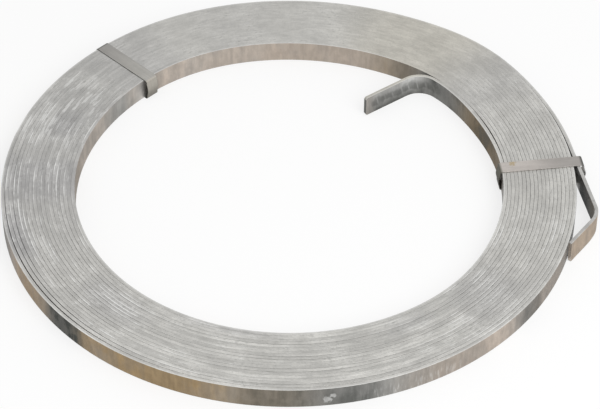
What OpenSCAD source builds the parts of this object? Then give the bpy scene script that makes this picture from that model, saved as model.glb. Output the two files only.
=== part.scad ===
// Coil of galvanised flat steel strip, lying flat and held by two steel straps.
// The strip is wound clockwise from the bore outwards, seen from above. Its inner end is bent
// into the bore, and its outer end runs off the rim under one strap and is folded back to the rim.
// Origin: on the coil's axis, at the floor. +Z is up, along the axis. Millimetres.

/* [Strip] */
// Width of the strip, which is the height of the coil
strip_w = 25; // [15:1:60]
// Thickness of the strip
strip_t = 4; // [2:0.5:6]
// Radius of the corners at the strip's two cut ends
end_corner_r = 2.5; // [1:0.5:5]

/* [Coil] */
// Radius of the bore where the winding starts
bore_r = 237; // [150:1:400]
// Number of full turns
turns = 19; // [4:1:30]
// Mean gap between one turn and the next
turn_gap = 0.3; // [0.1:0.05:0.8]
// Depth of the groove that shows between two turns on the coil's ends
groove_depth = 3; // [1.5:0.5:6]
// Direction, seen from above, in which the winding starts and the inner end leaves the bore wall
seam_angle = 45.5; // [0:0.5:90]

/* [Inner end] */
// Radius of the bend, at the strip's inside face
inner_bend_r = 24; // [8:1:60]
// Angle through which the inner end is bent towards the axis
inner_bend_angle = 80.5; // [30:0.5:110]
// Straight length from the bend to the cut end
inner_end_len = 60; // [20:1:120]

/* [Outer end] */
// Angle over which the last part turn follows the rim past the seam
lap_angle = 36; // [20:0.5:60]
// How much wider the last part turn springs than the rim under it
lap_spring = 13; // [2:1:30]
// Straight length from the end of the lap to the fold
outer_run_len = 94; // [60:1:140]
// Radius of the fold, at the strip's inside face
fold_r = 20; // [8:1:40]
// Angle through which the outer end is folded back to the rim
fold_angle = 47; // [35:0.5:75]
// Gap between the cut outer end and the rim that it is folded back to
outer_end_gap = 0.4; // [0.3:0.1:3]

/* [Straps] */
// Width of a strap
strap_w = 16; // [10:1:32]
// Thickness of a strap
strap_t = 0.8; // [0.4:0.1:1.5]
// Radius of a strap's bends, at its inside face
strap_bend_r = 2; // [1:0.5:4]
// Clearance between a strap's upright runs and the coil, at the bends
strap_slack = 2.3; // [2:0.1:6]
// How far a strap's upright run in the bore bows away from the wall
bore_bow = 1.6; // [0:0.1:4]
// How far a strap's upright run at the rim bows outwards
rim_bow = 2.6; // [0:0.1:4]
// Direction of the rear strap, seen from above
rear_strap_angle = 133.2; // [100:0.1:170]
// Angle by which the rear strap lies askew
rear_strap_skew = 1.8; // [-4:0.1:4]
// Direction of the side strap, which also holds the outer end
side_strap_angle = 4.7; // [2:0.1:7]
// Angle by which the side strap lies askew
side_strap_skew = 2.5; // [-4:0.1:4]

/* [Hidden] */
$fn = 180;
// Straight steps in the lap, in each bend of the strip and in each rounded corner of its ends
lap_steps = 24;
bend_steps = 12;
corner_steps = 3;
// Straight steps in each bend of a strap, and in each of its bowed runs
strap_bend_steps = 5;
bow_steps = 10;
// How far a cutting shape reaches beyond the solid, and how far its curve crosses the solid's faces
trim_margin = 1;
corner_overcut = 0.05;

pitch = strip_t + turn_gap;
// The winding is made of half turns about two centres, half a pitch apart on the seam line
half_shift = pitch / 4;
// Radius of the rim's face and of the last part turn's inside face, about the first centre
rim_r = bore_r + turns * pitch - turn_gap;
lap_r = bore_r + turns * pitch;
lap_end_angle = seam_angle - lap_angle;
// Distance from the axis to the outer end's outside face, square to that face
outer_run_reach = lap_r + lap_spring + strip_t - (half_shift + lap_spring) * cos(lap_angle);

// Middle of the coil's section, which the straps are turned askew about
middle_r = (bore_r + rim_r) / 2;

// Where the fold's inside face ends and which way the folded end runs on from there,
// about the first centre, with the x axis square to the straight run
fold_end = [lap_r + lap_spring * (1 - cos(lap_angle)) - fold_r * (1 - cos(fold_angle)),
            -lap_spring * sin(lap_angle) - outer_run_len - fold_r * sin(fold_angle)];
fold_heading = [-sin(fold_angle), -cos(fold_angle)];
inward = -fold_end * fold_heading;
// Length of the folded end: its inside corner stops short of the rim by the gap
folded_len = inward - sqrt(pow(inward, 2) - fold_end * fold_end + pow(rim_r + outer_end_gap, 2));

// Lower outline of n turns side by side, from radius r outwards, with the grooves between them
function lower_outline(r, n) = [
    for (i = [0 : n - 1]) let (x = r + i * pitch)
        each concat(
            [[x, 0], [x + strip_t, 0]],
            i < n - 1 ? [[x + strip_t, groove_depth], [x + pitch, groove_depth]] : []
        )
];

// Section of n turns: the upper outline is the lower one turned over
module turns_section(r, n) {
    lower = lower_outline(r, n);
    count = len(lower);
    polygon(concat(lower, [for (i = [1 : count]) [lower[count - i].x, strip_w - lower[count - i].y]]));
}

// Unit vector in a direction
function toward(angle) = [cos(angle), sin(angle)];

// Points of an arc about a centre, from one direction to another
function arc(centre, r, from, to, steps) = [
    for (k = [0 : steps]) centre + r * toward(from + (to - from) * k / steps)
];

// A bent length of strip from the plan lines of its two faces
module bent_strip(inside, outside) {
    count = len(outside);
    linear_extrude(strip_w)
        polygon(concat(inside, [for (i = [1 : count]) outside[count - i]]));
}

// What is cut off the lower corner of an end that lies on y = 0 and faces +y
module corner_cut() {
    translate([strip_t + trim_margin, 0, 0]) rotate([90, 0, -90])
        linear_extrude(strip_t + 2 * trim_margin)
            polygon(concat(
                arc([end_corner_r, end_corner_r], end_corner_r + corner_overcut, 270, 180, corner_steps),
                [[-trim_margin, end_corner_r], [-trim_margin, -trim_margin], [end_corner_r, -trim_margin]]
            ));
}

// What is cut off both corners of such an end
module end_cuts() {
    corner_cut();
    translate([0, 0, strip_w]) mirror([0, 0, 1]) corner_cut();
}

// Half turns about the two centres, which meet on the seam line to make the winding
module winding() {
    translate([-half_shift, 0, 0])
        rotate([0, 0, 180]) rotate_extrude(angle = 180) turns_section(bore_r, turns);
    translate([half_shift, 0, 0])
        rotate_extrude(angle = 180) turns_section(bore_r + pitch / 2, turns);
}

// Plan line of the inner end at a distance from its inside face: a bend, then a straight end
function inner_end_line(off) =
    let (bend = arc([bore_r - half_shift - inner_bend_r, 0], inner_bend_r + off,
                    0, inner_bend_angle, bend_steps))
    concat(bend, [bend[bend_steps] + inner_end_len * toward(inner_bend_angle + 90)]);

// Inner end of the strip, bent out of the first turn into the bore
module inner_end() {
    inside = inner_end_line(0);
    difference() {
        bent_strip(inside, inner_end_line(strip_t));
        translate(inside[len(inside) - 1]) rotate([0, 0, inner_bend_angle]) end_cuts();
    }
}

// Plan line of the outer end at a distance from its inside face: a part turn that springs off
// the rim, a straight run, a fold and the folded end
function outer_end_line(off) =
    let (lap_centre = [-half_shift - lap_spring, 0],
         fold_centre = lap_centre + (lap_r + lap_spring - fold_r) * toward(-lap_angle)
                       + outer_run_len * toward(-lap_angle - 90),
         fold = arc(fold_centre, fold_r + off, -lap_angle, -lap_angle - fold_angle, bend_steps))
    concat(
        arc(lap_centre, lap_r + lap_spring + off, 0, -lap_angle, lap_steps),
        fold,
        [fold[bend_steps] + folded_len * toward(-lap_angle - fold_angle - 90)]
    );

// Outer end of the strip, which leaves the rim and is folded back to it
module outer_end() {
    inside = outer_end_line(0);
    difference() {
        bent_strip(inside, outer_end_line(strip_t));
        translate(inside[len(inside) - 1]) rotate([0, 0, -lap_angle - fold_angle])
            mirror([0, 1, 0]) end_cuts();
    }
}

// The whole strip, one piece from its inner end to its outer end
module strip_coil() {
    color([0.72, 0.72, 0.70])
        translate([0, 0, strap_t]) rotate([0, 0, seam_angle]) {
            winding();
            inner_end();
            outer_end();
        }
}

// Corner of a strap's loop: a quarter turn about its centre
function loop_corner(centre, r, from) = arc(centre, r, from, from + 90, strap_bend_steps);

// Upright run of a strap's loop that bows out by an amount and leaves its bends smoothly
function loop_upright(x, z_from, z_to, bow) = [
    for (k = [1 : bow_steps - 1]) let (share = k / bow_steps)
        [x + bow * (1 - cos(360 * share)) / 2, z_from + (z_to - z_from) * share]
];

// Loop of a strap round the coil's section, from x_bore to x_rim, grown by an amount
function strap_loop(x_bore, x_rim, grow) =
    let (r = strap_bend_r + grow,
         low = strap_t + strap_bend_r,
         high = strap_t + strip_w - strap_bend_r,
         left = x_bore - strap_slack + strap_bend_r,
         right = x_rim + strap_slack - strap_bend_r)
    concat(
        loop_corner([right, low], r, 270),
        loop_upright(right + r, low, high, rim_bow),
        loop_corner([right, high], r, 0),
        loop_corner([left, high], r, 90),
        loop_upright(left - r, high, low, -bore_bow),
        loop_corner([left, low], r, 180)
    );

// A strap round the coil in one direction, turned askew about the middle of the coil's section
module strap(angle, skew, x_bore, x_rim) {
    color([0.66, 0.66, 0.65])
        rotate([0, 0, angle]) translate([middle_r, 0, 0]) rotate([90, 0, skew])
            linear_extrude(strap_w, center = true) difference() {
                polygon(strap_loop(x_bore - middle_r, x_rim - middle_r, strap_t));
                polygon(strap_loop(x_bore - middle_r, x_rim - middle_r, 0));
            }
}

// Distance from the axis, in a direction, to the winding's face with radius r in the first half turn
function face_reach(r, angle) =
    let (past_seam = angle - seam_angle)
    sin(past_seam) < 0 ? r - half_shift * cos(past_seam) : r + pitch / 2 + half_shift * cos(past_seam);

// Strap across the winding alone
module rear_strap() {
    strap(rear_strap_angle, rear_strap_skew,
          face_reach(bore_r, rear_strap_angle), face_reach(rim_r, rear_strap_angle));
}

// Strap across the winding and the outer end's straight run
module side_strap() {
    off_square = lap_end_angle - side_strap_angle;
    x_rim = middle_r + (outer_run_reach - middle_r * cos(off_square)) / cos(off_square - side_strap_skew);
    strap(side_strap_angle, side_strap_skew, face_reach(bore_r, side_strap_angle), x_rim);
}

strip_coil();
rear_strap();
side_strap();
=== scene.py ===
"""Coil of galvanised steel strip held by two straps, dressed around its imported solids.

One operator winds the strip, one fits the straps and one sets the stage. The shapes are in
metres and radians, in the frame's axes: +Z up along the coil's axis, the origin on the floor.
The tables of patches are in degrees and millimetres, as their comments say.
"""
import math

import bpy
import numpy as np
from bpy.props import FloatProperty, FloatVectorProperty, IntProperty, PointerProperty
from bpy.types import Operator, Panel, PropertyGroup
from mathutils import Color, Matrix, Vector


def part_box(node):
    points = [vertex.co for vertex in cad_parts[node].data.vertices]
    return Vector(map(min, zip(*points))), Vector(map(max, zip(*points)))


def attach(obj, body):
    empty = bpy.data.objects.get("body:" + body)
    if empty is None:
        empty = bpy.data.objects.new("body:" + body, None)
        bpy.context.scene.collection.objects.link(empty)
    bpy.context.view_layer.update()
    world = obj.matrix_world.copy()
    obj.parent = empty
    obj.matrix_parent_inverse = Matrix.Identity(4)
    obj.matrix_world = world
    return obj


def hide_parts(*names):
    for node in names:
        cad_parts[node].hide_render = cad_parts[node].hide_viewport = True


bl_info = {
    "name": "Strip coil",
    "version": (1, 0, 0),
    "blender": (4, 5, 0),
    "location": "View3D > Sidebar > Coil",
    "description": "Winds a coil of galvanised strip, straps it and sets a plain studio round it",
    "category": "Add Mesh",
}

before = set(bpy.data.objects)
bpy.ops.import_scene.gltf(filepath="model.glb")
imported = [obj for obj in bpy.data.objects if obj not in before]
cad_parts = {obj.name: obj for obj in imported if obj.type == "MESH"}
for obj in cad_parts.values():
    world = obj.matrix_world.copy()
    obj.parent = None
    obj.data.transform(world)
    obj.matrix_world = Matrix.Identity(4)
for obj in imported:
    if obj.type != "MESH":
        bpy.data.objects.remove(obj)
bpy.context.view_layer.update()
COIL_LOW, COIL_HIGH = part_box("strip_coil")

MM = 0.001
DEG = math.pi / 180
TURN = 2 * math.pi

# Stations of the strip in one turn, in the lap, in each bend and in each corner of its cut ends
TURN_STEPS = 180
LAP_STEPS = 18
BEND_STEPS = 14
CORNER_STEPS = 4
STRAIGHT_STEP = 6 * MM
# Angles that the inner end, and the lap with the outer end, count as wound
INNER_SPAN = 0.5
OUTER_SPAN = 1.0
# Length of strip over which the slant of the fold comes in, and the share of it before the fold ends
SLANT_LENGTH = 18 * MM
SLANT_SHARE = 0.45
# How far the folded end may reach back to the rim, and the step in which its length is found
FOLD_REACH = 100 * MM
FOLD_STEP = 0.1 * MM
# Points in each rounded edge of a section, and in a strap's bowed runs, bends and level runs
EDGE_STEPS = 3
BOW_STEPS = 24
STRAP_BEND_STEPS = 8
LEVEL_STEPS = 30
# Radius of a strap's edges as a share of its thickness
STRAP_EDGE = 0.25

# Where the coil is out of round: direction and spread in degrees, and how far the bore and the
# rim stand out there in millimetres
OUT_OF_ROUND = (
    (356, 20, -0.6, -1.6), (45.5, 9.5, 2.6, 4.9), (25, 9, -0.9, 0.2), (80, 14, -1.2, -0.9),
    (122, 14, 2.4, 1.3), (183, 14, 0.0, -0.85), (316, 14, 1.7, -0.3), (344, 7, 0.0, -0.3))
# Where turns stand apart: turns from the bore, direction and spread in degrees, and how much wider
# the gap is there in millimetres
LOOSE_TURNS = ((0, 21, 8, 1.1), (17, 212, 24, 0.9), (16, 222, 20, 0.35), (15, 190, 18, 0.5))
# Spread of a loosened gap along the strip, in turns, and the narrowest gap
LOOSE_SPREAD = 0.35
TIGHT_GAP = 0.15 * MM
# Waves of the gap and of the edges' level along the winding: height, pace and phase
GAP_WAVES = ((0.15, 0.37, 1.0), (0.12, 1.13, 2.0))
LEVEL_WAVES = ((0.33, 0.23, 0.5), (0.17, 0.91, 0.0))
# Share of the unevenness that the lower edges have
BASE_UNEVEN = 0.4
# Angle over which a strap holds the turns level, and how far
STRAP_GRIP = 5 * DEG
STRAP_HOLD = 0.6
# Where zinc closes the gaps between turns: direction and half width in degrees, and how far
CLOSED_TURNS = ((93, 59, 1.0), (52, 27, 1.0), (160, 36, 0.55), (247, 18, 0.5))
# Shares of a gap and of a rolled edge that zinc fills there
SHUT_FILL = 0.97
EDGE_FILL = 0.85
# Angles over which the zinc between turns comes in at the seam and goes before the lap
ZINC_START = 0.03
ZINC_STOP = 0.2

# Tarnish on the strip's faces, partly painted reflection of a room and painted light and shade by the
# way each wall faces: direction and half width of each patch in degrees, and its strength
RIM_TAN = ((206, 11, 0.9), (306, 14, 0.75), (331, 9, 0.6), (15, 18, 0.9), (108, 17, 0.7))
RIM_GOLD = (
    (210, 8, 0.72), (229, 5, 0.75), (244, 17, 1.0), (263, 11, 0.55), (62, 15, 0.8), (151, 13, 0.9))
RIM_DARK = (
    (194, 6, 0.5), (221.7, 5.2, 1.12), (247, 5, 0.14), (268.5, 8.5, 0.59), (276, 4, 0.55),
    (282, 5, 0.6), (299.5, 10, 0.22), (323.3, 3.8, 0.53), (333, 7, 0.2), (84, 6, 0.6),
    (131, 7, 0.35), (170, 5, 0.7))
BORE_TAN = (
    (82, 22, 1.0), (106, 16, 0.68), (125, 8, 0.72), (138, 4, 0.35), (164, 14, 0.55), (214, 17, 0.8),
    (312, 21, 0.8))
BORE_GOLD = ((19, 16, 1.0), (59, 8, 0.45), (179, 8, 0.4), (251, 17, 0.9))
BORE_DARK = (
    (20, 14, 0.63), (40, 12, 0.65), (56, 6, 0.4), (78, 20, 0.26), (104, 9, 0.13), (130.3, 2, 0.2),
    (233, 5, 0.7), (283, 8, 0.55))
# Painted light on faces that lie in shade, and pale streaks that weep down the rim, in the same way
RIM_PAINTED_LIGHT = ((12, 12, 1.0),)
BORE_PAINTED_LIGHT = ((133.6, 1.6, 0.6), (136, 1.6, 0.3))
RIM_WEEP = ((294, 10, 1.0), (40, 14, 0.7))
# Marks on the strip's edges in the same way: pale bloom with painted highlights, straw tint, dulled zinc,
# and where whole turns are paler or darker than their neighbours
EDGE_BLOOM_AND_LIGHT = ((200, 62, 1.0), (318, 26, 0.75), (336, 13, 1.0), (20, 30, 0.35))
EDGE_STRAW = ((58, 17, 0.3),)
EDGE_DULL = ((38, 10, 0.3), (104, 8, 0.2), (133, 12, 0.5), (170, 32, 0.5), (180, 9, 0.95))
EDGE_BANDS = ((272, 46, 1.0), (165, 40, 0.7))
# Where the last few turns have painted highlights on their outer edges, and where the bore's edge has none
PALE_LIPS = ((322, 24, 0.8), (222, 20, 0.6))
BARE_LIP = ((168, 27, 0.75),)
# Dulled zinc on some turns only: direction and half width in degrees, the share of the way from
# the bore to the rim that is its middle, its half width in that share, and its strength
PART_DULL = (
    (160, 6, 0.42, 0.28, 0.9), (196, 9, 0.9, 0.22, 1.0), (226, 9, 0.4, 0.22, 0.5),
    (255, 14, 0.02, 0.12, 0.5), (299, 6, 0.22, 0.15, 0.4), (319, 8, 0.45, 0.45, 0.5))
# Bloom with painted highlights where there is no patch of it, and dulled zinc on the outer end
LEAST_BLOOM_AND_LIGHT = 0.12
OUTER_DULL = 0.5

# Turns next to the bore and to the rim that may have tarnish
WALL_TURNS = 2
# Angle over which a painted highlight on a lip comes in, turns that have painted highlights on their
# outer edges, and the least lean of a normal on the upper edge
LIP_FADE = 0.3
LAST_FEW = 3.5
EDGE_LEAN = 0.01
# Where the inner end starts, in the angle that it counts as wound, and how fast its marks come in
INNER_END = (0, -0.15)
# Where marks come in on the inner end: start from the cut end and length, and a strength if they
# have their own. The shade has a least share
TIP_TAN = (14 * MM, -8 * MM, 0.3)
END_SHADE = (1 * MM, 8 * MM)
END_SHADE_LEAST = 0.2
BEND_SHADE = (70 * MM, 25 * MM)
SMUDGE_START = (5 * MM, 4 * MM)
SMUDGE_STOP = (120 * MM, -30 * MM)
# The same on the outer end, back from its cut end in the angle that it counts as wound
UNDER_STRAP = (-0.9, 0.1, 0.4)
OUTER_END = (-0.75, 0.1)
PAST_STRAP = (-0.595, 0.03)
NEAR_FOLD = (-0.5, 0.06)
FOLDED = (-0.45, 0.1)
# Strengths on the ends: golden tarnish outside and inside the fold, painted shade low on the inner end,
# on its bend, and high and low inside the outer run, deeper painted shade there and its loss at the fold
FOLD_GOLD = 0.3
FOLD_INSIDE_GOLD = 0.4
END_DARK = 0.7
BEND_DARK = 0.4
RUN_DARK_HIGH = 0.2
RUN_DARK_LOW = 1.0
RUN_DEEP_SHADE = 1.05
FOLD_LOSS = 0.6
# Painted light high on the inner end, and how much more before its bend: middle, spread and strength
END_PAINTED_LIGHT = 0.22
BEND_PAINTED_LIGHT = (64 * MM, 12 * MM, 0.35)
# Tarnish on the faces of the two cut ends, with painted light on the outer one: mark, station and strength
CUT_FACES = (("tan", -1, 1.0), ("gold", -1, 0.0), ("dark", 0, 1.0), ("dark", -1, 0.0), ("painted_light", -1, 0.2))
# The most that dark tarnish and painted shade may reach before it is mottled
DARK_LIMIT = 1.2

# Length of one of the dark smudges on the inner end with its pale border, and the heights between
# which the row of them comes in and goes
SMUDGE_LENGTH = 11.4 * MM
SMUDGE_FOOT = (7 * MM, 11 * MM)
SMUDGE_HEAD = (15.5 * MM, 21 * MM)
# Spots: middle and reach in millimetres. Clusters of pale bloom on the edges, the pale splash on
# the rim and the rust on the side strap
PALE_CLUSTERS = (
    (-285, 98, 25.8, 34), (-262, 124, 25.8, 30), (-222, 134, 25.8, 34), (-234, 62, 25.8, 28),
    (-246, 168, 25.8, 24))
SPLASHES = ((37, -316.6, 9.5, 5.5), (43.5, -316, 14.5, 3.5))
RUST_SPOT = (248, 24, 26.6, 4.5)

# Steel's shader: how metallic it is, its tint at grazing angles, and the depth of each fine bump
METALLIC = 0.85
SPECULAR_TINT = (0.5, 0.5, 0.5, 1.0)
STRIP_BUMP = 0.08 * MM
STRAP_BUMP = 0.15 * MM

# Half of the floor's width and how far it lies under the straps
FLOOR_HALF = 6.0
FLOOR_DROP = 0.1 * MM
# Width and place of the soft light
KEY_SIZE = 2.4
KEY_PLACE = (1.2, -1.9, 2.3)
# Camera's sensor width in millimetres, lens shift and clipping distances
SENSOR_WIDTH = 36.0
LENS_SHIFT = (0.01613, -0.01503)
CLIP_RANGE = (0.1, 50.0)


def a_length(name, description, default, least=0.0):
    """Property that holds a length."""
    return FloatProperty(
        name=name, description=description, default=default, min=least, unit="LENGTH", subtype="DISTANCE")


def an_angle(name, description, default):
    """Property that holds an angle."""
    return FloatProperty(
        name=name, description=description, default=default, unit="ROTATION", subtype="ANGLE")


def a_share(name, description, default, most=1.0):
    """Property that holds a share."""
    return FloatProperty(
        name=name, description=description, default=default, min=0.0, max=most, subtype="FACTOR")


def a_colour(name, description, default):
    """Property that holds a colour."""
    return FloatVectorProperty(
        name=name, description=description, default=default, size=3, min=0.0, max=1.0, subtype="COLOR")


class StripSizes(PropertyGroup):
    width: a_length(
        "Strip width", "Width of the strip, which is the height of the coil",
        COIL_HIGH.z - COIL_LOW.z, 5 * MM)
    thickness: a_length("Strip thickness", "Thickness of the strip", 4 * MM, 1 * MM)
    edge_radius: a_length("Edge radius", "Radius of the strip's rolled edges", 0.35 * MM, 0.1 * MM)
    inner_corner_radius: a_length(
        "Inner end corners", "Radius of the corners at the cut inner end", 2.5 * MM, 0.5 * MM)
    outer_corner_radius: a_length(
        "Outer end corners", "Radius of the corners at the cut outer end", 0.8 * MM, 0.5 * MM)
    bore_radius: a_length(
        "Bore radius", "Radius of the bore where the winding starts", 237 * MM, 50 * MM)
    turns: IntProperty(name="Turns", description="Number of full turns", default=19, min=2)
    turn_gap: a_length("Turn gap", "Mean gap between one turn and the next", 0.3 * MM)
    zinc_fill: a_share(
        "Zinc fill", "Share of the gap between two turns that zinc fills", 0.6, SHUT_FILL)
    unevenness: a_length(
        "Unevenness", "How far the turns' edges lie below the strap's level", 0.5 * MM)
    seam_angle: an_angle(
        "Seam direction", "Direction in which the winding starts, seen from above", 45.5 * DEG)
    inner_bend_radius: a_length(
        "Inner bend radius", "Radius of the inner end's bend, at the inside face", 24 * MM, 4 * MM)
    inner_bend_angle: an_angle(
        "Inner bend", "Angle through which the inner end is bent towards the axis", 80.5 * DEG)
    inner_end_length: a_length(
        "Inner end length", "Straight length from the bend to the cut end", 60 * MM, 10 * MM)
    lap_angle: an_angle(
        "Lap", "Angle over which the last part turn follows the rim past the seam", 36 * DEG)
    lap_spring: a_length(
        "Lap spring", "How much wider the last part turn springs than the rim", 6.8 * MM)
    outer_splay: an_angle(
        "Outer splay", "Angle by which the outer run leaves the lap outwards", 1.45 * DEG)
    outer_run_length: a_length(
        "Outer run length", "Straight length from the lap to the fold", 93.6 * MM, 10 * MM)
    fold_radius: a_length(
        "Fold radius", "Radius of the outer end's fold, at the inside face", 27.6 * MM, 4 * MM)
    fold_angle: an_angle(
        "Fold", "Angle through which the outer end is folded back to the rim", 47.7 * DEG)
    fold_slant: a_length(
        "Fold slant", "How much later the strip's lower edge is folded than its upper edge", 2.3 * MM)
    outer_end_gap: a_length(
        "Outer end gap", "Gap between the cut outer end and the rim", 0.15 * MM)


class StrapSizes(PropertyGroup):
    width: a_length("Strap width", "Width of a strap", 16 * MM, 4 * MM)
    thickness: a_length("Strap thickness", "Thickness of a strap", COIL_LOW.z, 0.3 * MM)
    bend_radius: a_length(
        "Strap bend radius", "Radius of a strap's bends, at its inside face", 2 * MM, 0.5 * MM)
    slack: a_length(
        "Strap slack", "Clearance between a strap's upright runs and the coil", 2.3 * MM)
    bore_bow: a_length(
        "Bore bow", "How far a strap's run in the bore bows away from the wall", 1.6 * MM)
    rim_bow: a_length("Rim bow", "How far a strap's run at the rim bows outwards", 2.6 * MM)
    rear_angle: an_angle(
        "Rear strap direction", "Direction of the rear strap, seen from above", 133.2 * DEG)
    rear_skew: an_angle("Rear strap skew", "Angle by which the rear strap lies askew", 1.8 * DEG)
    side_angle: an_angle(
        "Side strap direction", "Direction of the strap that holds the outer end", 4.7 * DEG)
    side_skew: an_angle("Side strap skew", "Angle by which the side strap lies askew", 2.5 * DEG)


class CoilColours(PropertyGroup):
    edge_zinc: a_colour("Edge zinc", "Matt zinc on the strip's edges", (0.531, 0.5235, 0.50))
    face_zinc: a_colour("Face zinc", "Smooth zinc on the strip's faces", (0.36, 0.355, 0.34))
    # Tan, golden and dark tarnish on the walls are partly painted reflection of a room and painted light
    # and shade by the way each wall faces; tan also paints light on the outer cut face
    tan: a_colour("Tan tarnish", "Pinkish tan tarnish on the faces", (0.58, 0.495, 0.42))
    gold: a_colour("Golden tarnish", "Golden brown tarnish on the faces", (0.37, 0.27, 0.155))
    # Dark tarnish is also painted shade on the strip's ends, in the gaps between turns and at the straps'
    # bends and edges
    dark: a_colour("Dark tarnish", "Dark grey tarnish on the faces", (0.072, 0.075, 0.068))
    # Painted shade low in the narrow gap inside the outer run
    deep_shade: a_colour("Deep tarnish", "Blue black tarnish inside the outer run", (0.012, 0.016, 0.018))
    # Pale bloom, also painted highlights along the strip's edges and painted light on faces and strap
    # insides that lie in shade
    bloom_and_light: a_colour("Zinc bloom", "Pale bloom in streaks along the strip's edges", (0.80, 0.80, 0.785))
    straw: a_colour("Straw tint", "Straw tint on the strip's edges", (0.52, 0.48, 0.38))
    dull: a_colour("Dull zinc", "Duller zinc on the strip's edges", (0.40, 0.395, 0.39))
    side_strap: a_colour("Side strap", "Bright steel of the side strap", (0.52, 0.485, 0.455))
    rear_strap: a_colour("Rear strap", "Greyer steel of the rear strap", (0.405, 0.395, 0.37))
    # Colour that a strap darkens to towards the rim
    strap_rim_tone: a_colour("Dull strap", "What a strap's steel dulls to at the rim", (0.26, 0.25, 0.24))
    strap_bright: a_colour(
        "Bright strap", "Paler steel of the rear strap in the bore", (0.43, 0.405, 0.36))
    # Painted shade on the side strap's run in the bore
    strap_shade: a_colour(
        "Shaded strap", "Brown grey steel of the side strap in the bore", (0.15, 0.145, 0.12))
    rust: a_colour("Rust", "Rust spot on the side strap", (0.40, 0.30, 0.145))


class StageSettings(PropertyGroup):
    floor_colour: a_colour("Floor", "Colour of the plain floor", (0.96, 0.96, 0.96))
    floor_glow: a_share("Floor glow", "Share of the floor that shows plain white in the picture", 0.72)
    sky_strength: FloatProperty(
        name="Sky", description="Strength of the even light from all round", default=0.68, min=0.0)
    key_power: FloatProperty(
        name="Key light", description="Power of the soft light at the front right",
        default=52.0, min=0.0, unit="POWER")
    camera_distance: a_length(
        "Camera distance", "Distance from the camera to the coil's middle", 2.69644, 0.1)
    camera_elevation: an_angle(
        "Camera elevation", "Height of the camera above the horizon", 42.4476 * DEG)
    camera_roll: an_angle(
        "Camera roll", "Turn of the camera about its own line of sight", -0.0015)
    focal_length: FloatProperty(
        name="Focal length", description="Focal length of the lens, in millimetres",
        default=145.07, min=10.0, unit="CAMERA")


def toward(angle):
    """Unit plan vector, or one row for each angle."""
    return np.stack((np.cos(angle), np.sin(angle)), -1)


def off_by(angle, centre):
    """How far an angle is from a direction, the short way round."""
    return (angle - centre + math.pi) % TURN - math.pi


def bell(distance, spread):
    """Smooth hump, 1 in the middle."""
    return np.exp(-0.5 * (distance / spread) ** 2)


def ramp(value, start, length, strength=1.0):
    """Share that comes in over a length from a start, or goes where the length is below 0."""
    return strength * np.clip((value - start) / length, 0, 1)


def eased(share):
    """Share from 0 to 1 that starts and ends gently."""
    share = np.clip(share, 0, 1)
    return share * share * (3 - 2 * share)


def waves(wound, rows):
    """Sum of waves along the winding."""
    return sum(height * np.sin(pace * wound + phase) for height, pace, phase in rows)


def plateau(angle, patches):
    """How strongly any of the patches covers a direction."""
    cover = np.zeros_like(angle)
    for centre, half_width, strength in patches:
        share = off_by(angle, centre * DEG) / (half_width * DEG)
        cover = np.maximum(cover, strength * np.exp(-share ** 4))
    return cover


def gaps(wound, sizes):
    """Gap outside the strip at each angle wound from the seam, the same in total all round."""
    gap = sizes.turn_gap * (1 + waves(wound, GAP_WAVES))
    share = LOOSE_SPREAD * math.sqrt(TURN) / sizes.turns
    for turn, direction, spread, extra in LOOSE_TURNS:
        past_seam = (sizes.seam_angle - direction * DEG) % TURN
        here = bell(wound / TURN - turn - past_seam / TURN, LOOSE_SPREAD)
        at_direction = bell(off_by(wound, past_seam), spread * DEG)
        gap = gap + extra * MM * at_direction * (here - share)
    return np.maximum(gap, TIGHT_GAP)


def rim_share(reach, sizes):
    """Share of the way from the bore to the rim at a distance from the axis."""
    wall = sizes.turns * (sizes.thickness + sizes.turn_gap)
    return np.clip((reach - sizes.bore_radius) / wall, 0, 1)


def out_of_round(points, sizes):
    """Plan points of the winding, moved in or out where the coil isn't round."""
    reach = np.linalg.norm(points, axis=1)
    angle = np.arctan2(points[:, 1], points[:, 0])
    share = rim_share(reach, sizes)
    shift = np.zeros_like(reach)
    for direction, spread, at_bore, at_rim in OUT_OF_ROUND:
        standing = MM * (at_bore + (at_rim - at_bore) * share)
        shift += standing * bell(off_by(angle, direction * DEG), spread * DEG)
    return points * (1 + shift / reach)[:, None]


def stretch(angle, sizes):
    """How much wider the coil's shape makes each gap between two turns, in a direction."""
    wider = np.zeros_like(angle)
    for direction, spread, at_bore, at_rim in OUT_OF_ROUND:
        hump = bell(off_by(angle, direction * DEG), spread * DEG)
        wider += MM * (at_rim - at_bore) * hump / sizes.turns
    return wider


def straight(start, heading, length):
    """Points along a straight run after its start, at even steps."""
    count = max(2, round(length / STRAIGHT_STEP))
    return start + np.linspace(0, length, count + 1)[1:, None] * heading


def free_length(start, heading, rim, gap):
    """How far a straight end can run on before its corner comes within a gap of the rim."""
    lengths = np.arange(0, FOLD_REACH, FOLD_STEP)
    corners = start + lengths[:, None] * heading
    rim_angle = np.arctan2(rim[:, 1], rim[:, 0])
    order = np.argsort(rim_angle)
    corner_angle = np.arctan2(corners[:, 1], corners[:, 0])
    reach = np.interp(corner_angle, rim_angle[order], np.linalg.norm(rim, axis=1)[order])
    clear = np.linalg.norm(corners, axis=1) - reach > gap
    if clear.all():
        raise ValueError("the folded end doesn't come back to the rim")
    return lengths[np.argmin(clear)]


def end_distances(radius):
    """Distances of the stations in a cut end's rounded corner, from the end inwards."""
    turned = np.linspace(0, math.pi / 2, CORNER_STEPS + 1)
    return radius * (1 - np.cos(turned))


def drawn_in(to_end, radius):
    """How far a rounded corner draws the strip's edges in, at a distance from the cut end."""
    reach = np.clip(radius - to_end, 0, radius)
    return radius - np.sqrt(radius ** 2 - reach ** 2)


def half_shift(sizes):
    """How far the middle of the first half turn lies off the axis."""
    return (sizes.thickness + sizes.turn_gap) / 4


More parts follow.
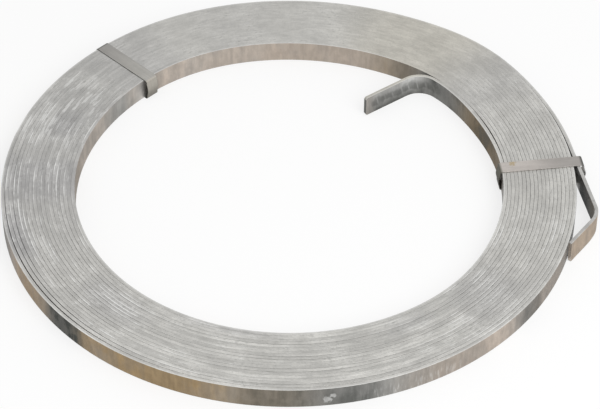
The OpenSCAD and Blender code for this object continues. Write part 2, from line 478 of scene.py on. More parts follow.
def turn_radii(sizes):
    """Angle wound at each station of the full turns, and the inside face's radius there."""
    wound = np.arange(sizes.turns * TURN_STEPS + 1) * TURN / TURN_STEPS
    gap = gaps(wound, sizes)
    radius = np.empty_like(wound)
    first = np.arange(TURN_STEPS) / TURN_STEPS
    radius[:TURN_STEPS] = sizes.bore_radius - half_shift(sizes) + (sizes.thickness + gap[0]) * first
    for i in range(TURN_STEPS, len(wound)):
        radius[i] = radius[i - TURN_STEPS] + sizes.thickness + gap[i - TURN_STEPS]
    return wound, radius


def lap_run(sizes, last_radius):
    """Last part turn, which springs off the rim: plan points and outward directions."""
    centre_off = half_shift(sizes) + sizes.lap_spring
    turned = np.linspace(0, sizes.lap_angle, LAP_STEPS + 1)[1:]
    out = toward(sizes.seam_angle - turned)
    return (last_radius + centre_off) * out - centre_off * toward(sizes.seam_angle), out


def inner_run(sizes, moved):
    """Inner end, from its cut end to where the winding starts: plan points and outward directions."""
    bend_off = sizes.bore_radius - half_shift(sizes) - sizes.inner_bend_radius
    turned = np.linspace(sizes.inner_bend_angle, 0, BEND_STEPS + 1)[:-1]
    bend_out = toward(sizes.seam_angle + turned)
    bend = bend_off * toward(sizes.seam_angle) + moved + sizes.inner_bend_radius * bend_out
    heading = toward(sizes.seam_angle + sizes.inner_bend_angle + math.pi / 2)
    end = straight(bend[0], heading, sizes.inner_end_length)[::-1]
    cap = end[0] - end_distances(sizes.inner_corner_radius)[:, None] * heading
    end = np.concatenate((cap, end[1:]))
    out = np.concatenate((np.repeat(bend_out[:1], len(end), 0), bend_out))
    return np.concatenate((end, bend)), out


def outer_run(sizes, lap_end, rim):
    """Outer end, from the lap to its cut end: plan points, outward directions, and how far the
    lower edge lies off the upper edge."""
    run_angle = sizes.seam_angle - sizes.lap_angle + sizes.outer_splay
    run_heading = toward(run_angle - math.pi / 2)
    run = straight(lap_end, run_heading, sizes.outer_run_length)
    turned = np.linspace(0, sizes.fold_angle, BEND_STEPS + 1)[1:]
    fold_out = toward(run_angle - turned)
    fold = run[-1] - sizes.fold_radius * toward(run_angle) + sizes.fold_radius * fold_out
    heading = toward(run_angle - sizes.fold_angle - math.pi / 2)
    end = straight(fold[-1], heading, free_length(fold[-1], heading, rim, sizes.outer_end_gap))
    cap = end[-1] - end_distances(sizes.outer_corner_radius)[::-1, None] * heading
    end = np.concatenate((end[:-1], cap))

    points = np.concatenate((run, fold, end))
    out = np.concatenate((
        np.tile(toward(run_angle), (len(run), 1)), fold_out, np.repeat(fold_out[-1:], len(end), 0)))
    past_fold = np.concatenate((
        sizes.fold_radius * (turned - sizes.fold_angle), np.linalg.norm(end - fold[-1], axis=1)))
    slanted = sizes.fold_slant * eased(past_fold / SLANT_LENGTH + SLANT_SHARE)
    late = np.zeros_like(points)
    late[len(run):] = slanted[:, None] * run_heading
    return points, out, late


def wind(sizes):
    """Plan points of the strip's inside face, its outward directions, how far its lower edge lies
    off its upper edge, and the angle wound at each."""
    wound, radius = turn_radii(sizes)
    turn_out = toward(sizes.seam_angle - wound)
    turn_points = radius[:, None] * turn_out
    lap_points, lap_out = lap_run(sizes, radius[-1])
    shaped = out_of_round(np.concatenate((turn_points, lap_points)), sizes)
    inner_points, inner_out = inner_run(sizes, shaped[0] - turn_points[0])
    rim = shaped[len(wound) - TURN_STEPS:len(wound)] + sizes.thickness * turn_out[-TURN_STEPS:]
    outer_points, outer_out, outer_late = outer_run(sizes, shaped[-1], rim)

    points = np.concatenate((inner_points, shaped, outer_points))
    out = np.concatenate((inner_out, turn_out, lap_out, outer_out))
    late = np.concatenate((np.zeros((len(points) - len(outer_late), 2)), outer_late))
    trail = len(lap_points) + len(outer_points)
    angle_wound = np.concatenate((
        np.linspace(-INNER_SPAN, 0, len(inner_points), endpoint=False), wound,
        wound[-1] + np.linspace(0, OUTER_SPAN, trail + 1)[1:]))
    return points, out, late, angle_wound


def rounded_section(breadth, height):
    """Closed section, anticlockwise from the lower edge: its square corners, how far each point
    is drawn off its corner for each unit of the edges' radius, and the normals."""
    square = ((breadth, 0.0, -1, 1), (breadth, height, -1, -1), (0.0, height, 1, -1), (0.0, 0.0, 1, 1))
    corners = []
    pulls = []
    normals = []
    for quarter, (x, y, pull_x, pull_y) in enumerate(square):
        for step in range(EDGE_STEPS + 1):
            normal = toward(math.pi / 2 * (quarter - 1 + step / EDGE_STEPS))
            corners.append((x, y))
            pulls.append(normal + np.array((pull_x, pull_y)))
            normals.append(normal)
    return np.array(corners), np.array(pulls), np.array(normals)


def swept_faces(rings, around, closed):
    """Quads between one ring of points and the next, and the two end faces of an open sweep."""
    ring = np.arange(rings if closed else rings - 1)[:, None]
    point = np.arange(around)[None, :]
    after = (ring + 1) % rings
    beside = (point + 1) % around
    quads = np.stack((
        ring * around + point, ring * around + beside, after * around + beside, after * around + point), -1)
    faces = quads.reshape(-1, 4).tolist()
    if not closed:
        faces.append(list(range(around))[::-1])
        faces.append(list(range((rings - 1) * around, rings * around)))
    return faces


def swept_object(name, points, normals, marks, end_normals=()):
    """Mesh of a sweep, closed on itself unless it has end faces, with its own smooth normals and
    named values that are given for each ring, each point of the section or both."""
    rings, around = points.shape[:2]
    faces = swept_faces(rings, around, closed=not end_normals)
    mesh = bpy.data.meshes.new(name)
    mesh.from_pydata(points.reshape(-1, 3).tolist(), [], faces)
    mesh.update()
    corners = np.empty(len(mesh.loops), np.int32)
    mesh.loops.foreach_get("vertex_index", corners)
    corner_normals = normals.reshape(-1, 3)[corners]
    for face, normal in zip(list(mesh.polygons)[len(faces) - len(end_normals):], end_normals):
        corner_normals[face.loop_start:face.loop_start + face.loop_total] = normal
    mesh.polygons.foreach_set("use_smooth", [True] * len(mesh.polygons))
    mesh.normals_split_custom_set(corner_normals.tolist())
    for mark, values in marks.items():
        layer = mesh.attributes.new(mark, "FLOAT", "POINT")
        values = np.ascontiguousarray(np.broadcast_to(values, (rings, around)), np.float32)
        layer.data.foreach_set("value", values.ravel())
    piece = bpy.data.objects.new(name, mesh)
    bpy.context.scene.collection.objects.link(piece)
    return piece


class StripCourse:
    """Stations along the strip and points round its section, with what lies where."""

    def __init__(self, sizes):
        self.inside, self.out, self.late, self.wound = wind(sizes)
        self.middle = self.inside + self.out * sizes.thickness / 2
        steps = np.linalg.norm(np.diff(self.middle, axis=0), axis=1)
        self.along = np.concatenate(([0], np.cumsum(steps)))
        self.angle = np.arctan2(self.middle[:, 1], self.middle[:, 0])
        self.full = sizes.turns * TURN
        self.closed = plateau(self.angle, CLOSED_TURNS)

        # Shares of each station that count as the rim's wall, the bore's wall and the two ends
        self.on_rim = ramp(self.wound / TURN, sizes.turns - WALL_TURNS, 1)
        self.in_bore = ramp(self.wound / TURN, WALL_TURNS, -1)
        self.inner_end = ramp(self.wound, *INNER_END)
        self.to_cut = self.wound - self.wound[-1]
        self.outer_end = ramp(self.to_cut, *OUTER_END)

        self.corners, self.pulls, self.normals = rounded_section(sizes.thickness, sizes.width)
        self.upper = self.corners[None, :, 1] > sizes.width / 2
        # How far each point's normal faces the rim and the bore
        self.rimward = np.clip(self.normals[None, :, 0], 0, 1)
        self.boreward = np.clip(-self.normals[None, :, 0], 0, 1)


def held_level(angle, straps):
    """How free the turns are to lie uneven, which is least under a strap."""
    held = bell(off_by(angle, straps.rear_angle), STRAP_GRIP)
    held = held + bell(off_by(angle, straps.side_angle), STRAP_GRIP)
    return 1 - STRAP_HOLD * np.clip(held, 0, 1)


def strip_surface(course, sizes, straps):
    """Points and normals of the strip's sweep, and the share of its thickness at each point."""
    edge_radius = sizes.edge_radius * (1 - EDGE_FILL * course.closed)
    section = course.corners[None] + edge_radius[:, None, None] * course.pulls[None]

    corner = drawn_in(course.along, sizes.inner_corner_radius)
    corner = corner + drawn_in(course.along[-1] - course.along, sizes.outer_corner_radius)
    free = held_level(course.angle, straps) * (1 - course.closed)
    wave = 0.5 + waves(course.wound, LEVEL_WAVES)
    top_drop = sizes.unevenness * free * wave + corner
    base_rise = BASE_UNEVEN * sizes.unevenness * free * (1 - wave) + corner
    shift = np.where(course.upper, -top_drop[:, None], base_rise[:, None])
    height = COIL_LOW.z + section[..., 1] + shift

    in_turns = ramp(course.wound, 0, ZINC_START) * ramp(course.wound, course.full, -ZINC_STOP)
    room = gaps(course.wound, sizes) + stretch(course.angle, sizes)
    open_skin = sizes.zinc_fill * np.minimum(room, sizes.turn_gap)
    skin = in_turns * (open_skin + (SHUT_FILL * room - open_skin) * course.closed)
    depth = section[..., 0] * (1 + skin / sizes.thickness)[:, None]
    below_top = 1 - (height - COIL_LOW.z) / sizes.width
    plan = course.inside[:, None, :] + course.out[:, None, :] * depth[:, :, None]
    plan = plan + course.late[:, None, :] * below_top[:, :, None]
    points = np.concatenate((plan, height[:, :, None]), -1)

    flat = course.out[:, None, :] * course.normals[None, :, :1]
    lean = (course.late * course.out).sum(1) / sizes.width
    rise = course.normals[None, :, 1] + lean[:, None] * course.normals[None, :, 0]
    normals = np.concatenate((flat, rise[:, :, None]), -1)
    normals /= np.linalg.norm(normals, axis=-1)[:, :, None]
    return points, normals, section[..., 0] / sizes.thickness


def wall_cover(course, bore_patches, rim_patches):
    """Cover of a tarnish, partly painted reflection, light and shade, on the bore's wall and on the rim's
    wall.
    """
    bore = plateau(course.angle, bore_patches) * course.in_bore * (1 - course.inner_end)
    rim = plateau(course.angle, rim_patches) * course.on_rim * (1 - course.outer_end)
    return bore[:, None] * course.boreward + rim[:, None] * course.rimward


def face_marks(course):
    """Cover of each tarnish, painted shade and painted light on the strip's faces."""
    along = course.along
    in_end = course.inner_end * np.maximum(ramp(along, *END_SHADE), END_SHADE_LEAST)
    in_bend = course.inner_end * ramp(along, *BEND_SHADE)
    past_strap = ramp(course.to_cut, *PAST_STRAP)
    near_fold = ramp(course.to_cut, *NEAR_FOLD)
    folded = ramp(course.to_cut, *FOLDED)

    tan = wall_cover(course, BORE_TAN, RIM_TAN) + folded[:, None] * course.rimward
    tan = tan + ramp(along, *TIP_TAN)[:, None] * course.boreward
    gold = wall_cover(course, BORE_GOLD, RIM_GOLD) + (FOLD_GOLD * folded)[:, None] * course.rimward
    gold = gold + (FOLD_INSIDE_GOLD * near_fold)[:, None] * course.boreward

    # Painted shade: low on the inner end and on its bend, and inside the outer run past the side strap,
    # deepest low there
    shaded = (END_DARK * in_end)[:, None] * ~course.upper + (BEND_DARK * in_bend)[:, None]
    shaded = shaded + past_strap[:, None] * np.where(course.upper, RUN_DARK_HIGH, RUN_DARK_LOW)
    dark = wall_cover(course, BORE_DARK, RIM_DARK) + shaded * course.boreward
    deep_shade = RUN_DEEP_SHADE * past_strap * (1 - FOLD_LOSS * near_fold) * (1 - folded)

    # Painted light on faces that lie in shade: high on the inner end, on the outer run under the side
    # strap, on the bore beside the rear strap and on the rim behind the outer run
    middle, spread, strength = BEND_PAINTED_LIGHT
    on_end = in_end * (END_PAINTED_LIGHT + strength * bell(along - middle, spread)) * (1 - in_bend)
    under_strap = ramp(course.to_cut, *UNDER_STRAP) * (1 - past_strap)
    in_bore = plateau(course.angle, BORE_PAINTED_LIGHT) * course.in_bore
    behind_run = plateau(course.angle, RIM_PAINTED_LIGHT) * course.on_rim * (course.wound < course.full)
    painted_light = (on_end[:, None] * course.upper + (under_strap + in_bore)[:, None]) * course.boreward
    painted_light = painted_light + behind_run[:, None] * course.rimward

    marks = {"tan": tan, "gold": gold, "dark": dark, "painted_light": painted_light}
    for mark, station, strength in CUT_FACES:
        marks[mark][station] = strength
    for mark, cover in marks.items():
        marks[mark] = np.clip(cover, 0, DARK_LIMIT if mark == "dark" else 1)
    smudged = ramp(along, *SMUDGE_START) * ramp(along, *SMUDGE_STOP)
    marks["smudged"] = smudged[:, None] * course.boreward
    marks["deep_shade"] = deep_shade[:, None] * ~course.upper * course.boreward
    marks["weep"] = wall_cover(course, (), RIM_WEEP)
    return marks


def edge_marks(course, sizes):
    """Cover of each mark on the strip's edges."""
    off_outer_end = 1 - course.outer_end
    # Lips: painted highlights along the top edges of the first turn at the bore and of the last turns at
    # the rim
    in_first = ramp(course.wound, TURN, -LIP_FADE) * (1 - plateau(course.angle, BARE_LIP))
    in_last = ramp(course.wound, course.full - TURN, LIP_FADE) * off_outer_end
    last_few = ramp(course.wound, course.full - LAST_FEW * TURN, TURN / 2) * off_outer_end
    in_last = np.maximum(in_last, last_few * plateau(course.angle, PALE_LIPS))
    top_edge = course.upper & (course.normals[None, :, 1] > EDGE_LEAN)
    outside = course.corners[None, :, 0] > 0
    lip = in_first[:, None] * (top_edge & ~outside) + in_last[:, None] * (top_edge & outside)

    dull = np.maximum(plateau(course.angle, EDGE_DULL), OUTER_DULL * course.outer_end)
    share = rim_share(np.linalg.norm(course.middle, axis=1), sizes)
    for centre, half_width, level, half_span, strength in PART_DULL:
        at_level = np.exp(-((share - level) / half_span) ** 4)
        dull = np.maximum(dull, plateau(course.angle, ((centre, half_width, strength),)) * at_level)
    bloom_and_light = np.maximum(plateau(course.angle, EDGE_BLOOM_AND_LIGHT), LEAST_BLOOM_AND_LIGHT)
    straw = plateau(course.angle, EDGE_STRAW)
    banded = plateau(course.angle, EDGE_BANDS)
    covers = {"closed": course.closed, "bloom_and_light": bloom_and_light, "straw": straw, "dull": dull, "banded": banded}
    marks = {mark: cover[:, None] for mark, cover in covers.items()}
    marks["lip"] = lip
    return marks


def wound_strip(sizes, straps):
    """The whole strip, from its inner cut end through every turn to its outer cut end."""
    course = StripCourse(sizes)
    points, normals, across = strip_surface(course, sizes, straps)
    first = course.out[0]
    last = course.out[-1]
    ends = (np.array((-first[1], first[0], 0)), np.array((last[1], -last[0], 0)))
    marks = {"along": course.along[:, None], "across": across}
    marks.update(face_marks(course))
    marks.update(edge_marks(course, sizes))
    return swept_object("wound_strip", points, normals, marks, ends)


def loop_line(left, right, straps, width):
    """Middle line of a strap's loop round the coil's section: points, outward directions."""
    radius = straps.bend_radius + straps.thickness / 2
    low = straps.thickness + straps.bend_radius
    high = straps.thickness + width - straps.bend_radius
    left = left - straps.slack + straps.bend_radius
    right = right + straps.slack - straps.bend_radius
    share = np.linspace(0, 1, BOW_STEPS + 1)[1:-1]
    swell = (1 - np.cos(TURN * share)) / 2
    quarter = np.linspace(0, math.pi / 2, STRAP_BEND_STEPS + 1)
    level = np.linspace(0, 1, LEVEL_STEPS + 1)[1:-1]
    rise = low + (high - low) * share
    fall = high - (high - low) * share
    over = right + (left - right) * level
    under = left + (right - left) * level
    line = np.concatenate((
        np.array((right, low)) + radius * toward(quarter - math.pi / 2),
        np.stack((right + radius + straps.rim_bow * swell, rise), -1),
        np.array((right, high)) + radius * toward(quarter),
        np.stack((over, np.full_like(over, high + radius)), -1),
        np.array((left, high)) + radius * toward(quarter + math.pi / 2),
        np.stack((left - radius - straps.bore_bow * swell, fall), -1),
        np.array((left, low)) + radius * toward(quarter + math.pi),
        np.stack((under, np.full_like(under, low - radius)), -1),
    ))
    travel = np.roll(line, -1, 0) - np.roll(line, 1, 0)
    travel /= np.linalg.norm(travel, axis=1)[:, None]
    return line, np.stack((travel[:, 1], -travel[:, 0]), -1)


def section_middle(angle, sizes):
    """Plan point in the middle of the coil's section, in one direction from the axis."""
    wall = sizes.turns * (sizes.thickness + sizes.turn_gap) - sizes.turn_gap
    return (sizes.bore_radius + wall / 2) * toward(angle)


def strap_reach(node, angle, skew, straps, sizes):
    """Where a strap's solid meets the coil, from the middle of its section along the strap."""
    solid = np.array([vertex.co[:2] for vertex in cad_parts[node].data.vertices])
    reach = (solid - section_middle(angle, sizes)) @ toward(angle + skew)
    left = reach.min() + straps.slack + straps.bore_bow + straps.thickness
    right = reach.max() - straps.slack - straps.rim_bow - straps.thickness
    return left, right


def fitted_strap(node, angle, skew, straps, sizes):
    """A strap in one direction from the axis, turned askew about the middle of the coil's section."""
    line, out = loop_line(*strap_reach(node, angle, skew, straps, sizes), straps, sizes.width)
    corners, pulls, section_normals = rounded_section(straps.thickness, straps.width)
    section = corners + pulls * straps.thickness * STRAP_EDGE
    section = section - np.array((straps.thickness, straps.width)) / 2
    turn = np.array(Matrix.Rotation(angle + skew, 3, "Z"))

    def carried(start, profile):
        """A section's points or normals at every station of the loop, turned to the strap's direction."""
        loop = start + out[:, None, :] * profile[None, :, :1]
        side = np.broadcast_to(profile[None, :, 1:], (*loop.shape[:2], 1))
        return np.concatenate((loop[..., :1], side, loop[..., 1:]), -1) @ turn.T

    points = carried(line[:, None, :], section) + np.append(section_middle(angle, sizes), 0)
    normals = carried(0, section_normals)
    steps = np.linalg.norm(np.roll(line, -1, 0) - line, axis=1)
    along = np.concatenate(([0], np.cumsum(steps)[:-1]))
    share = (line[:, 0] - line[:, 0].min()) / np.ptp(line[:, 0])
    marks = {
        "along": along[:, None],
        "across": section[None, :, 1] / straps.width + 0.5,
        "rimward": share[:, None],
        "inside": section[None, :, 0] < 0,
    }
    return swept_object("fitted_" + node, points, normals, marks)


class Paint:
    """A shader tree, with short forms for the nodes that build it."""

    def __init__(self, tree):
        self.tree = tree

    def fill(self, socket, value):
        """Links a socket to another one, or sets its value; a colour gets its alpha."""
        if isinstance(value, bpy.types.NodeSocket):
            self.tree.links.new(value, socket)
        else:
            socket.default_value = (*value, 1.0) if isinstance(value, Color) else value

    def node(self, kind, output, inputs, **settings):
        """One output of a new node with its inputs and settings."""
        node = self.tree.nodes.new(kind)
        for name, setting in settings.items():
            setattr(node, name, setting)
        for name, value in inputs.items():
            self.fill(node.inputs[name], value)
        return node.outputs[output]

    def mark(self, name):
        """Value stored at the mesh's points."""
        return self.node("ShaderNodeAttribute", "Fac", {}, attribute_name=name)

    def place(self):
        """Place on the surface, in the object's own axes."""
        return self.node("ShaderNodeTexCoord", "Object", {})

    def upward(self, vector):
        """Upward part of a vector."""
        return self.node("ShaderNodeSeparateXYZ", "Z", {0: vector})

    def sums(self, operation, first, second=0.0, clamp=False):
        """Result of one sum on two values."""
        return self.node("ShaderNodeMath", 0, {0: first, 1: second}, operation=operation, use_clamp=clamp)

    def times(self, first, second, clamp=False):
        """Product of two values."""
        return self.sums("MULTIPLY", first, second, clamp)

    def off_middle(self, share):
        """How far a share from 0 to 1 is from a half."""
        return self.sums("ABSOLUTE", self.sums("SUBTRACT", share, 0.5))

    def spread(self, value, low, high, to_low=0.0, to_high=1.0):
        """Value spread smoothly from one range to another."""
        limits = {"From Min": low, "From Max": high, "To Min": to_low, "To Max": to_high}
        return self.node(
            "ShaderNodeMapRange", "Result", {"Value": value, **limits}, interpolation_type="SMOOTHSTEP")

    def packed(self, x, y, z=0.0):
        """Three values as one place or colour."""
        return self.node("ShaderNodeCombineXYZ", 0, {0: x, 1: y, 2: z})

    def noise(self, vector, scale, detail=3.0, rough=0.5):
        """Noise value at a place."""
        inputs = {"Vector": vector, "Scale": scale, "Detail": detail, "Roughness": rough}
        return self.node("ShaderNodeTexNoise", "Fac", inputs)

    def blended(self, share, first, second, way="MIX"):
        """Two colours blended by a share."""
        inputs = {0: share, 6: first, 7: second}
        return self.node("ShaderNodeMix", 2, inputs, data_type="RGBA", blend_type=way)

    def toned(self, colour, shade, tones):
        """Colour times a shade and tones: a value from 0 to 1, and its factors at 0 and at 1."""
        for value, dip, lift in tones:
            shade = self.times(shade, self.spread(value, 0, 1, dip, lift))
        return self.blended(1.0, colour, self.packed(shade, shade, shade), "MULTIPLY")

    def group(self, name, **values):
        """Places a shared group with its own values, and gives its outputs."""
        node = self.tree.nodes.new("ShaderNodeGroup")
        node.node_tree = shared_group(name)
        for label, value in values.items():
            self.fill(node.inputs[label.replace("_", " ")], value)
        return node.outputs

    def streaks(self, other, along_scale, other_scale, low, high):
        """Streaks along the sweep, or across it where the other scale is small."""
        return self.group(
            "Steel streaks", Along=self.mark("along"), Across=other, Along_scale=along_scale,
            Across_scale=other_scale, Low=low, High=high)["Streak"]

    def spot(self, place, row, **values):
        """Cover of a spot from a row with its middle and its reach."""
        *centre, reach = (size * MM for size in row)
        return self.group("Ragged spot", Place=place, Centre=centre, Reach=reach, **values)["Cover"]


def streak_values(paint, given):
    """Streaks that run one way over the steel: narrow one way, long the other."""
    x = paint.times(given["Along"], given["Along scale"])
    y = paint.times(given["Across"], given["Across scale"])
    return (paint.spread(paint.noise(paint.packed(x, y), 1.0), given["Low"], given["High"]),)


def mottle_values(paint, given):
    """Cloudy and fine mottling of zinc."""
    cloud = paint.noise(given["Place"], 28.0, 4.0, 0.55)
    scaled = paint.node(
        "ShaderNodeVectorMath", 0, {0: given["Place"], "Scale": given["Fine size"]}, operation="SCALE")
    grain = paint.noise(scaled, 420.0, 3.0, 0.6)
    return paint.spread(cloud, 0.3, 0.7), paint.spread(grain, 0.3, 0.7)


def spot_values(paint, given):
    """One ragged spot round a place on the surface."""
    apart = paint.node(
        "ShaderNodeVectorMath", "Value", {0: given["Place"], 1: given["Centre"]}, operation="DISTANCE")
    share = paint.sums("DIVIDE", apart, given["Reach"])
    ragged = paint.noise(given["Place"], 330.0, 3.0, 0.6)
    torn = paint.times(paint.sums("SUBTRACT", ragged, 0.5), given["Tear"])
    return (paint.spread(paint.sums("ADD", share, torn), 0.5, 1.0, 1.0, 0.0),)


ORIGIN = (0.0, 0.0, 0.0)
# Groups that the finishes share: what builds each, its outputs, and its inputs with their defaults
GROUPS = {
    "Steel streaks": (streak_values, ("Streak",), {
        "Along": 0.0, "Across": 0.0, "Along scale": 100.0, "Across scale": 10.0, "Low": 0.4, "High": 0.6}),
    "Zinc mottle": (mottle_values, ("Cloud", "Grain"), {"Place": ORIGIN, "Fine size": 1.0}),
    "Ragged spot": (spot_values, ("Cover",), {
        "Place": ORIGIN, "Centre": ORIGIN, "Reach": 4 * MM, "Tear": 2.2}),
}


def shared_group(name):
    """A shader group with named value or vector sockets, built the first time it is asked for."""
    group = bpy.data.node_groups.get(name)
    if group is None:
        group = bpy.data.node_groups.new(name, "ShaderNodeTree")
        build, outputs, inputs = GROUPS[name]
        for label, default in inputs.items():
            kind = "NodeSocketVector" if isinstance(default, tuple) else "NodeSocketFloat"
            socket = group.interface.new_socket(name=label, in_out="INPUT", socket_type=kind)
            socket.default_value = default
        for label in outputs:
            group.interface.new_socket(name=label, in_out="OUTPUT", socket_type="NodeSocketFloat")
        given = group.nodes.new("NodeGroupInput").outputs
        result = group.nodes.new("NodeGroupOutput").inputs
        for label, value in zip(outputs, build(Paint(group), given)):
            group.links.new(value, result[label])
    return group


def new_finish(name):
    """Material and its shader tree."""
    finish = bpy.data.materials.new(name)
    finish.use_nodes = True
    return finish, Paint(finish.node_tree)


def steel_shader(paint, colour, roughness, height, depth):
    """Sets the material's shader to steel with a fine bump."""
    shader = paint.tree.nodes["Principled BSDF"]
    bump = paint.node(
        "ShaderNodeBump", "Normal", {"Strength": 1.0, "Distance": depth, "Height": height})
    for name, value in (
            ("Metallic", METALLIC), ("Specular Tint", SPECULAR_TINT), ("Base Color", colour),
            ("Roughness", roughness), ("Normal", bump)):
        paint.fill(shader.inputs[name], value)


def smudge_row(paint, rise):
    """A row of dark smudges along the middle of the inner end, with pale borders between them."""
    ragged = paint.streaks(rise, 70.0, 60.0, 0.25, 0.75)
    wander = paint.times(paint.streaks(rise, 45.0, 0.0, 0.3, 0.7), 0.3)
    leant = paint.sums("ADD", paint.mark("along"), paint.times(rise, 0.3))
    phase = paint.sums("ADD", paint.sums("DIVIDE", leant, SMUDGE_LENGTH), wander)
    border = paint.spread(paint.off_middle(paint.sums("FRACT", phase)), 0.34, 0.49)
    border = paint.times(border, paint.spread(ragged, 0.0, 1.0, 0.2, 1.0))
    row = paint.sums("SUBTRACT", 1.0, border)
    shaken = paint.times(paint.sums("SUBTRACT", ragged, 0.5), 7 * MM)
    shaken = paint.sums("ADD", rise, shaken)
    row = paint.times(row, paint.spread(shaken, *SMUDGE_FOOT))
    row = paint.times(row, paint.spread(shaken, *SMUDGE_HEAD, 1.0, 0.0))
    return paint.times(row, paint.mark("smudged"))


def face_colour(paint, place, mottle, colours):
    """The strip's faces: smooth zinc with tarnish, painted reflection, painted shade and painted light,
    weeping streaks, smudges and a splash.
    """
    rise = paint.upward(place)
    wide = paint.streaks(rise, 90.0, 12.0, 0.35, 0.65)
    ragged = paint.sums("ADD", paint.times(mottle["Cloud"], 0.6), paint.times(wide, 0.4))
    even = paint.spread(ragged, 0.2, 0.8, 0.85, 1.12)
    patchy = paint.spread(ragged, 0.2, 0.8, 0.66, 1.32)
    face = colours.face_zinc
    for mark, tarnish, strength in (
            ("tan", colours.tan, even), ("gold", colours.gold, even), ("dark", colours.dark, patchy),
            ("deep_shade", colours.deep_shade, even), ("painted_light", colours.bloom_and_light, even)):
        face = paint.blended(paint.times(paint.mark(mark), strength, clamp=True), face, tarnish)
    weep = paint.times(paint.streaks(rise, 380.0, 60.0, 0.5, 0.66), paint.mark("weep"))
    weep = paint.times(weep, paint.spread(rise, 10 * MM, 19 * MM, 0.3, 0.1))
    face = paint.blended(weep, face, colours.bloom_and_light)
    face = paint.blended(paint.times(smudge_row(paint, rise), 0.5), face, colours.dark)
    for row in SPLASHES:
        face = paint.blended(paint.times(paint.spot(place, row), 0.45), face, colours.bloom_and_light)
    fine = paint.streaks(rise, 420.0, 30.0, 0.35, 0.65)
    stained = paint.streaks(rise, 160.0, 70.0, 0.35, 0.65)
    return paint.toned(face, 1.0, (
        (mottle["Cloud"], 0.94, 1.05), (fine, 0.97, 1.02), (wide, 0.93, 1.05), (stained, 0.93, 1.04),
        (mottle["Grain"], 0.97, 1.02)))


def edge_colour(paint, place, mottle, colours):
    """The strip's edges: matt zinc with straw and dull patches, painted shade at the gaps with dark flecks,
    and pale bloom with painted highlights.
    """
    across = paint.mark("across")
    top = paint.blended(paint.mark("straw"), colours.edge_zinc, colours.straw)
    top = paint.blended(paint.mark("dull"), top, colours.dull)
    band = paint.spread(paint.streaks(across, 8.0, 0.5, 0.35, 0.65), 0, 1, -0.08, 0.13)
    shade = paint.sums("ADD", paint.times(band, paint.mark("banded")), 1.0)
    top = paint.toned(top, shade, (
        (mottle["Cloud"], 0.94, 1.06), (mottle["Grain"], 0.94, 1.05),
        (paint.streaks(across, 22.0, 0.8, 0.3, 0.7), 0.965, 1.03),
        (paint.streaks(across, 75.0, 0.8, 0.3, 0.7), 0.95, 1.04)))

    clusters = paint.spread(mottle["Cloud"], 0.35, 0.8, 0.15, 1.0)
    clusters = paint.times(clusters, paint.spread(paint.mark("straw"), 0, 0.3, 1.0, 0.2))
    # Painted shade in dashes along the gaps between turns, less where zinc closes them, with dark flecks
    gap_shade_and_flecks = paint.streaks(across, 130.0, 1.2, 0.55, 0.72)
    gap_shade_and_flecks = paint.times(gap_shade_and_flecks, paint.spread(paint.off_middle(across), 0.2, 0.45))
    gap_shade_and_flecks = paint.times(gap_shade_and_flecks, paint.spread(paint.mark("closed"), 0, 1, 0.35, 0.04))
    flecks = paint.times(paint.streaks(across, 210.0, 1.4, 0.57, 0.66), clusters)
    gap_shade_and_flecks = paint.sums("MAXIMUM", gap_shade_and_flecks, paint.times(flecks, 0.22))
    top = paint.blended(gap_shade_and_flecks, top, colours.dark)

    # Pale bloom and painted highlights in streaks and glints along the edges, pale clusters, and painted
    # highlights on the lips
    pale = paint.streaks(across, 11.0, 1.0, 0.44, 0.58)
    pale = paint.times(pale, paint.spread(across, 0.5, 0.85))
    glints = paint.times(paint.streaks(across, 150.0, 1.6, 0.56, 0.66), 0.32)
    pale = paint.times(paint.sums("MAXIMUM", pale, glints), clusters)
    pale = paint.times(pale, paint.mark("bloom_and_light"))
    bricks = paint.times(paint.streaks(across, 30.0, 0.5, 0.53, 0.6), 0.5)
    for row in PALE_CLUSTERS:
        pale = paint.sums("MAXIMUM", pale, paint.times(paint.spot(place, row, Tear=0.0), bricks))
    lip = paint.times(paint.spread(paint.mark("lip"), 0.4, 0.9), 0.4)
    pale = paint.times(paint.sums("MAXIMUM", pale, lip), 0.85)
    return paint.blended(pale, top, colours.bloom_and_light)


def strip_finish(colours):
    """Galvanised strip: matt edges with bloom, painted highlights and painted gap shade, and tarnished
    faces with painted reflection, light and shade and upright streaks.
    """
    finish, paint = new_finish("galvanised_strip")
    place = paint.place()
    mottle = paint.group("Zinc mottle", Place=place, Fine_size=1.0)
    facing = paint.upward(paint.node("ShaderNodeTexCoord", "Normal", {}))
    edge = paint.spread(paint.sums("ABSOLUTE", facing), 0.35, 0.85)
    face = face_colour(paint, place, mottle, colours)
    top = edge_colour(paint, place, mottle, colours)
    rough = paint.spread(mottle["Grain"], 0, 1, 0.34, 0.46)
    rough = paint.sums("ADD", rough, paint.times(edge, 0.14))
    steel_shader(paint, paint.blended(edge, face, top), rough, mottle["Grain"], STRIP_BUMP)
    return finish


